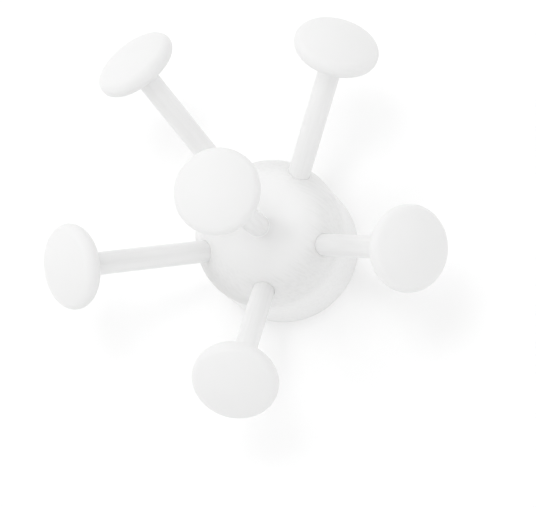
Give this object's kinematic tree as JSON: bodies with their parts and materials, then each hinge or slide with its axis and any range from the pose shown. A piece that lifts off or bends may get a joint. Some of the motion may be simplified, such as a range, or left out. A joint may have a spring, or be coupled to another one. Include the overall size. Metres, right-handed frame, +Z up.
{
  "type": "wall coat rack",
  "caption": "Wall coat rack: a rounded drum hub with turned pegs standing out of it, each ending in a thick rounded disc knob, for hanging coats, hats and bags.",
  "frame": {"origin": "centre of the hub's flat back, on the plane of the wall", "axes": "-Y out of the wall along the hub's axis, +Z up, +X to the right for someone facing the wall"},
  "size_m": [0.3182, 0.2406, 0.3128],
  "materials": {
    "painted_wood": "white satin paint over fine wood grain",
    "zinc_steel": "zinc plated",
    "brass": "plain turned brass"
  },
  "bodies": {
    "root": {"hub": "painted_wood", "peg_centre": "painted_wood", "knob_centre": "painted_wood", "stud_centre": "zinc_steel", "insert_centre": "brass", "peg_upper_right": "painted_wood", "knob_upper_right": "painted_wood", "stud_upper_right": "zinc_steel", "insert_upper_right": "brass", "peg_upper_left": "painted_wood", "knob_upper_left": "painted_wood", "stud_upper_left": "zinc_steel", "insert_upper_left": "brass", "peg_left": "painted_wood", "knob_left": "painted_wood", "stud_left": "zinc_steel", "insert_left": "brass", "peg_bottom": "painted_wood", "knob_bottom": "painted_wood", "stud_bottom": "zinc_steel", "insert_bottom": "brass", "peg_right": "painted_wood", "knob_right": "painted_wood", "stud_right": "zinc_steel", "insert_right": "brass", "hanger_plate": "zinc_steel", "plate_screws": "zinc_steel"}
  },
  "joints": []
}
